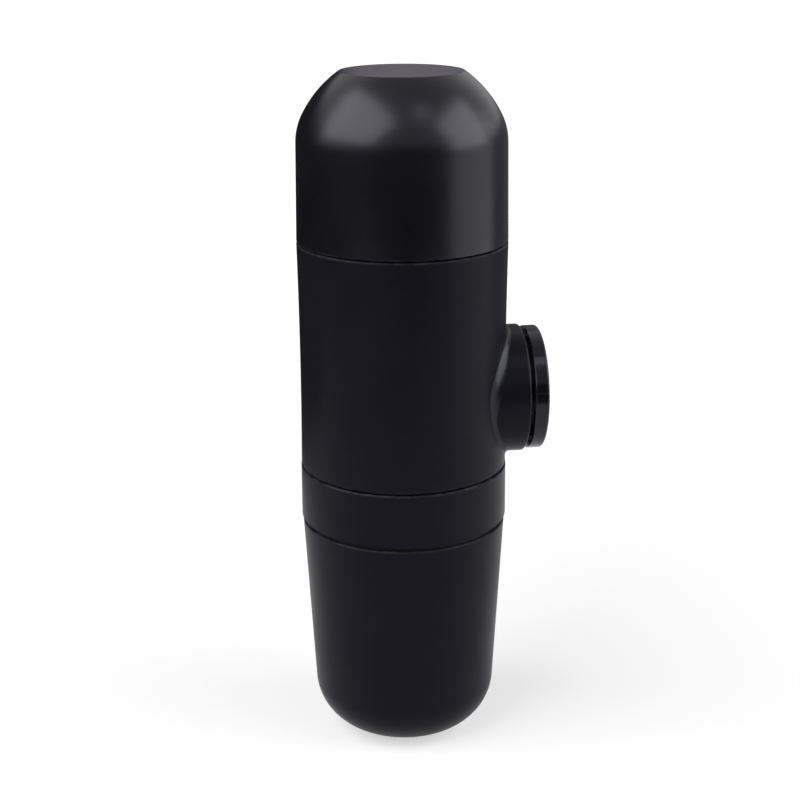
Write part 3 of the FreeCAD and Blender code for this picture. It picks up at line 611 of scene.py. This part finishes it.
metalSettings = {
    "pressedSteel": {
        "color": (0.58, 0.57, 0.555, 1), "shade": (0.50, 0.49, 0.475, 1), "glossy": 0.26, "matt": 0.36,
        "lines": 2600.0, "lineDepth": 0.000020, "scratches": 1100.0,
    },
    "polishedSteel": {
        "color": (0.62, 0.62, 0.615, 1), "shade": (0.56, 0.555, 0.55, 1), "glossy": 0.12, "matt": 0.20,
        "scratches": 1600.0,
    },
    "springSteel": {
        "color": (0.47, 0.46, 0.45, 1), "shade": (0.38, 0.37, 0.355, 1), "glossy": 0.24, "matt": 0.36,
        "lines": 5000.0, "lineDepth": 0.000008,
    },
    "screwSteel": {
        "color": (0.42, 0.41, 0.40, 1), "shade": (0.30, 0.295, 0.285, 1), "glossy": 0.28, "matt": 0.42,
        "scratches": 1800.0,
    },
}


def makeMetal(name, own):
    s = {**metalCommon, **own}
    mat, tree, shader, place = newMaterial(name)
    shader.inputs["Metallic"].default_value = 1.0
    haze = addEffect(tree, "haze", place, Size=s["hazeSize"], Glossy=s["glossy"], Matt=s["matt"])
    color = addMix(tree, haze["Mask"], s["color"], s["shade"], kind="RGBA")
    rough = haze["Roughness"]
    if "scratches" in s:
        marks = addEffect(tree, "scratches", place, Fineness=s["scratches"])
        rough = addMath(tree, "ADD", rough, addMath(tree, "MULTIPLY", marks["Mask"], s["scratchDepth"]))
    if "lines" in s:
        rings = addEffect(tree, "lines", place, Pitch=s["lines"])
        normal = addBump(tree, rings["Height"], s["lineDepth"], s["lineStrength"])
        tree.links.new(normal, shader.inputs["Normal"])
    tree.links.new(color, shader.inputs["Base Color"])
    tree.links.new(rough, shader.inputs["Roughness"])
    return mat


finishes = {}
for make, settings in ((makePlastic, plasticSettings), (makeRubber, rubberSettings), (makeMetal, metalSettings)):
    for name, s in settings.items():
        finishes[name] = make(name, s)

# which finish each node of the frame wears; the plain inner plastic is for all that isn't named
nodeFinishes = {
    "tankPlastic": ["water_tank"],
    "shellPlastic": ["body_shell"],
    "bandPlastic": ["outlet_head"],
    "cupPlastic": ["cup"],
    "knobPlastic": ["knob_sleeve", "knob_cap", "knob_inlay"],
    "sealRubber": ["plunger_seals", "cylinder_seal", "port_seals", "tank_seal", "cup_gasket", "outlet_spout"],
    "gasketRubber": ["group_gasket", "basket_seal"],
    "pressedSteel": ["filter_basket", "shower_screen", "intake_strainer"],
    "polishedSteel": ["intake_valve_ball", "outlet_valve_ball", "pump_cylinder"],
    "springSteel": ["return_spring", "intake_valve_spring", "outlet_valve_spring"],
    "screwSteel": ["knob_screw", "deck_screws", "collar_screws", "screen_screw"],
}
finishOf = {node: finish for finish, names in nodeFinishes.items() for node in names}
for name, node in nodes.items():
    for slot in range(len(node.data.materials)):
        node.data.materials[slot] = finishes[finishOf.get(name, "innerPlastic")]
print("finishes assigned:", len(finishes))


# pieces: small helpers first
mergeDistance = 0.000001


def deselect():
    if bpy.context.mode != "OBJECT":
        bpy.ops.object.mode_set(mode="OBJECT")
    bpy.ops.object.select_all(action="DESELECT")


def openEdit(kind="VERT", action="SELECT"):
    bpy.ops.object.mode_set(mode="EDIT")
    bpy.ops.mesh.select_mode(type=kind)
    bpy.ops.mesh.select_all(action=action)


def closeEdit():
    bpy.ops.object.mode_set(mode="OBJECT")


def cleanMesh(closeEnds=False):
    # seams are merged, open ends closed where that is asked for, and faces turned outwards
    openEdit()
    bpy.ops.mesh.remove_doubles(threshold=mergeDistance)
    if closeEnds:
        bpy.ops.mesh.fill_holes(sides=0)
        bpy.ops.mesh.select_all(action="SELECT")
    bpy.ops.mesh.normals_make_consistent(inside=False)
    closeEdit()


def applyModifier(piece, kind, **values):
    deselect()
    piece.select_set(True)
    bpy.context.view_layer.objects.active = piece
    modifier = piece.modifiers.new("step", kind)
    for label, value in values.items():
        setattr(modifier, label, value)
    bpy.ops.object.modifier_apply(modifier=modifier.name)


def finishPiece(piece, name, finish, body, smooth=35):
    deselect()
    piece.select_set(True)
    bpy.context.view_layer.objects.active = piece
    bpy.ops.object.transform_apply(location=True, rotation=True, scale=True)
    bpy.ops.object.shade_smooth_by_angle(angle=math.radians(smooth))
    piece.name = name
    piece.data.name = name
    piece.data.materials.clear()
    piece.data.materials.append(finishes[finish])
    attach(piece, body)
    print("piece done:", name, len(piece.data.polygons), "faces")


# the blend round the foot of the boss: a band that is broad at the sides and narrow above and below
blendSettings = {
    "shell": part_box("body_shell"),
    "boss": 0.01807,
    "level": 0.10195,
    "waist": 0.00031,
    "tubeLeg": 0.00120,
    "bossLegNarrow": 0.00125,
    "bossLegBroad": 0.00250,
    "legUnder": 0.00085,
    "fadeFrom": 0.25,
    "fadeTo": -0.30,
    "proud": 0.000015,
    "round": 360,
    "across": 14,
    "pull": 0.40,
}


def tubePoint(s, angle, radius):
    # the point where a circle of this radius round the boss meets the slightly waisted tube
    low, high = s["shell"]
    y = radius * math.sin(angle)
    z = radius * math.cos(angle) + s["level"]
    middle = (low[2] + high[2]) / 2
    half = (high[2] - low[2]) / 2
    tube = -low[1] - s["waist"] * (1 - ((z - middle) / half) ** 2) + s["proud"]
    return Vector((math.sqrt(tube ** 2 - y * y), y, z))


def blendPoint(s, angle, share):
    # share runs from 0 on the tube to 1 on the boss; the less pull, the flatter the middle of the band
    bossLeg = s["bossLegNarrow"] + (s["bossLegBroad"] - s["bossLegNarrow"]) * math.sin(angle) ** 2
    tubeLeg = s["tubeLeg"]
    # under the boss the legs shrink, so that the band sinks into the shell's own rounding
    fade = (math.cos(angle) - s["fadeFrom"]) / (s["fadeTo"] - s["fadeFrom"])
    fade = min(max(fade, 0), 1)
    fade = fade * fade * (3 - 2 * fade)
    bossLeg += (s["legUnder"] - bossLeg) * fade
    tubeLeg += (s["legUnder"] - tubeLeg) * fade
    rim = s["boss"] + s["proud"]
    start = tubePoint(s, angle, rim + tubeLeg)
    corner = tubePoint(s, angle, rim)
    end = corner + Vector((bossLeg, 0, 0))
    first = start.lerp(corner, s["pull"])
    last = end.lerp(corner, s["pull"])
    rest = 1 - share
    return start * rest ** 3 + first * 3 * share * rest ** 2 + last * 3 * share ** 2 * rest + end * share ** 3


def makeBossBlend(s):
    deselect()
    bpy.ops.mesh.primitive_grid_add(x_subdivisions=s["round"], y_subdivisions=s["across"], size=2)
    blend = bpy.context.object
    # the grid runs from -1 to 1: one way becomes the turn round the boss, the other the way across the band
    for vertex in blend.data.vertices:
        angle = (vertex.co.x + 1) * math.pi
        vertex.co = blendPoint(s, angle, (vertex.co.y + 1) / 2)
    cleanMesh()
    # the band is open, so its outward side is checked at one face
    face = blend.data.polygons[0]
    if face.normal.dot(face.center - Vector((0, 0, s["level"]))) < 0:
        openEdit()
        bpy.ops.mesh.flip_normals()
        closeEdit()
    finishPiece(blend, "bossBlend", "bossPlastic", "body", smooth=60)


makeBossBlend(blendSettings)


# turned pieces: a ring is drawn out loop by loop along a list of (radius, level)
def turnProfile(points, sides, filled):
    deselect()
    radius, level = points[0]
    fill = "NGON" if filled else "NOTHING"
    bpy.ops.mesh.primitive_circle_add(vertices=sides, radius=radius, fill_type=fill, location=(0, 0, level))
    piece = bpy.context.object
    bpy.ops.object.transform_apply(location=True)
    openEdit("EDGE")
    if filled:
        bpy.ops.mesh.region_to_loop()
    for nextRadius, nextLevel in points[1:]:
        bpy.ops.mesh.extrude_edges_move(TRANSFORM_OT_translate={"value": (0, 0, nextLevel - level)})
        share = nextRadius / radius
        bpy.ops.transform.resize(value=(share, share, 1), center_override=(0, 0, nextLevel))
        radius, level = nextRadius, nextLevel
    closeEdit()
    cleanMesh()
    return piece


def arc(radius, level, size, first, last, steps=5):
    # points on a quarter circle of this size, angles in degrees from outward to upward
    turns = [math.radians(first + (last - first) * i / steps) for i in range(steps + 1)]
    return [(radius + size * math.cos(t), level + size * math.sin(t)) for t in turns]


# sieves: a close-packed field of holes between two radii
rowShare = 0.866


def holePlaces(pitch, inner, outer):
    places = []
    rows = int(outer / (pitch * rowShare)) + 1
    for row in range(-rows, rows + 1):
        y = row * pitch * rowShare
        for column in range(-rows - 2, rows + 3):
            x = (column + (row % 2) / 2) * pitch
            if inner < math.hypot(x, y) < outer:
                places.append((x, y))
    return places


def drillHoles(piece, s, low, high):
    # one drill is modelled and copied to each place, and all of them are cut at once
    deselect()
    bpy.ops.mesh.primitive_cylinder_add(vertices=s["holeSides"], radius=s["holeRadius"], depth=high - low)
    first = bpy.context.object
    for x, y in holePlaces(s["holePitch"], s["holesFrom"], s["holesTo"]):
        drill = first.copy()
        drill.data = first.data.copy()
        drill.location = (x, y, (low + high) / 2)
        bpy.context.collection.objects.link(drill)
        drill.select_set(True)
    bpy.data.objects.remove(first)
    drills = bpy.context.selected_objects[0]
    bpy.context.view_layer.objects.active = drills
    bpy.ops.object.join()
    applyModifier(piece, "BOOLEAN", object=drills, operation="DIFFERENCE", solver="EXACT")
    bpy.data.objects.remove(drills)


# the coffee basket: a drawn steel cup with a snap bead, a flat flange and a fine sieve for a floor
basketSettings = {
    "foot": 0.00055,
    "radius": 0.0223,
    "bead": 0.00035,
    "beadLevel": 0.0655,
    "beadHeight": 0.0016,
    "beadSteps": 8,
    "flangeRound": 0.0004,
    "wall": 0.00055,
    "sides": 160,
    "holeRadius": 0.00028,
    "holePitch": 0.00138,
    "holeSides": 8,
    "holesFrom": 0.0,
    "holesTo": 0.0182,
}


def makeBasket(s):
    low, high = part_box("filter_basket")
    radius, foot, turn, steps = s["radius"], s["foot"], s["flangeRound"], s["beadSteps"]
    under = high[2] - s["wall"]
    profile = arc(radius - foot, low[2] + foot, foot, -90, 0)
    for i in range(steps + 1):
        swell = math.sin(math.pi * i / steps) ** 2
        profile.append((radius + s["bead"] * swell, s["beadLevel"] + s["beadHeight"] * i / steps))
    profile += arc(radius + turn, under - turn, turn, 180, 90)
    profile += [(high[0], under)]
    basket = turnProfile(profile, s["sides"], filled=True)
    applyModifier(basket, "SOLIDIFY", thickness=s["wall"], offset=-1)
    drillHoles(basket, s, low[2] - s["wall"], low[2] + 2 * s["wall"])
    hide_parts("filter_basket")
    finishPiece(basket, "filterBasket", "pressedSteel", "basket")


makeBasket(basketSettings)


# the shower screen: a sieve with a stiff rim and a thick middle for its screw
screenSettings = {
    "sheet": 0.00045,
    "rim": 0.0009,
    "edge": 0.00012,
    "middle": 0.0044,
    "bore": 0.0017,
    "sides": 128,
    "holeRadius": 0.00042,
    "holePitch": 0.00195,
    "holeSides": 8,
    "holesFrom": 0.0056,
    "holesTo": 0.0195,
}


def makeScreen(s):
    low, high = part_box("shower_screen")
    outer, edge, sheet = high[0], s["edge"], low[2] + s["sheet"]
    profile = [
        (s["bore"], low[2]), (outer - edge, low[2]), (outer, low[2] + edge), (outer, high[2] - edge),
        (outer - edge, high[2]), (outer - s["rim"], high[2]), (outer - s["rim"] - edge, sheet),
        (s["middle"] + edge, sheet), (s["middle"], high[2]), (s["bore"], high[2]), (s["bore"], low[2]),
    ]
    screen = turnProfile(profile, s["sides"], filled=False)
    drillHoles(screen, s, low[2] - s["sheet"], high[2] + s["sheet"])
    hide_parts("shower_screen")
    finishPiece(screen, "showerScreen", "pressedSteel", "body")


makeScreen(screenSettings)


# the knob's face: a flat rim, a turned groove and a shallow dish for the thumb
faceSettings = {
    "level": 0.10195,
    "sides": 160,
    "facing": 0.9,
    "flat": 0.0016,
    "groove": 0.0004,
    "grooveDepth": 0.00025,
    "lip": 0.0009,
    "dish": 0.00055,
    "steps": 9,
    "lastStep": 0.6,
    "edge": 0.00010,
    "edgeSegments": 2,
    "edgeAngle": 40,
}


def insetStep(thickness, move):
    bpy.ops.mesh.inset(thickness=thickness)
    bpy.ops.transform.translate(value=(0, 0, move))


def makeKnobFace(s):
    low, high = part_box("knob_inlay")
    radius, depth = (high[2] - low[2]) / 2, high[0] - low[0]
    deselect()
    bpy.ops.mesh.primitive_cylinder_add(vertices=s["sides"], radius=radius, depth=depth)
    face = bpy.context.object
    openEdit("FACE", "DESELECT")
    closeEdit()
    # the end of the cylinder that looks up is the one that is worked on
    for polygon in face.data.polygons:
        polygon.select = polygon.normal.z > s["facing"]
    bpy.ops.object.mode_set(mode="EDIT")
    insetStep(s["flat"], 0)
    insetStep(s["edge"], -s["grooveDepth"])
    insetStep(s["groove"], 0)
    insetStep(s["edge"], s["grooveDepth"])
    insetStep(s["lip"], 0)
    left = radius - s["flat"] - s["groove"] - s["lip"] - 2 * s["edge"]
    for i in range(s["steps"]):
        before, after = 1 - i / s["steps"], 1 - (i + 1) / s["steps"]
        # the last step stops short of the middle, so that the floor of the dish is a small flat
        width = left / s["steps"] * (s["lastStep"] if i == s["steps"] - 1 else 1)
        insetStep(width, -s["dish"] * (before ** 2 - after ** 2))
    closeEdit()
    applyModifier(
        face, "BEVEL", width=s["edge"], segments=s["edgeSegments"], limit_method="ANGLE",
        angle_limit=math.radians(s["edgeAngle"]),
    )
    face.rotation_euler = (0, math.pi / 2, 0)
    face.location = ((low[0] + high[0]) / 2, 0, s["level"])
    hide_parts("knob_inlay")
    finishPiece(face, "knobFace", "knobFacePlastic", "knob", smooth=30)


makeKnobFace(faceSettings)


# the valve springs: short coils under the balls, which a ball presses together as it opens; here they keep one length
coilSettings = {
    "wire": 0.0003,
    "turns": 3,
    "wireSides": 10,
    "turnSides": 36,
    "lift": 0.001,
    "springs": {
        "intakeSpring": ("intake_valve_spring", "intake_valve_lift"),
        "outletSpring": ("outlet_valve_spring", "outlet_valve_lift"),
    },
}


def makeCoil(s, name, node):
    low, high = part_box(node)
    middle = [(low[i] + high[i]) / 2 for i in range(2)]
    radius, height = (high[1] - low[1]) / 2 - s["wire"], high[2] - low[2]
    deselect()
    bpy.ops.mesh.primitive_circle_add(
        vertices=s["wireSides"], radius=s["wire"], location=(*middle, low[2] + s["wire"]), rotation=(math.pi / 2, 0, 0)
    )
    coil = bpy.context.object
    bpy.ops.object.transform_apply(location=False, rotation=True, scale=False)
    openEdit()
    bpy.ops.transform.translate(value=(radius, 0, 0))
    closeEdit()
    applyModifier(
        coil, "SCREW", axis="Z", screw_offset=(height - 2 * s["wire"]) / s["turns"], iterations=s["turns"],
        steps=s["turnSides"], render_steps=s["turnSides"], use_merge_vertices=False,
    )
    cleanMesh(closeEnds=True)
    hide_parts(node)
    finishPiece(coil, name, "springSteel", "body", smooth=60)
    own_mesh(coil)


for name, (node, joint) in coilSettings["springs"].items():
    makeCoil(coilSettings, name, node)
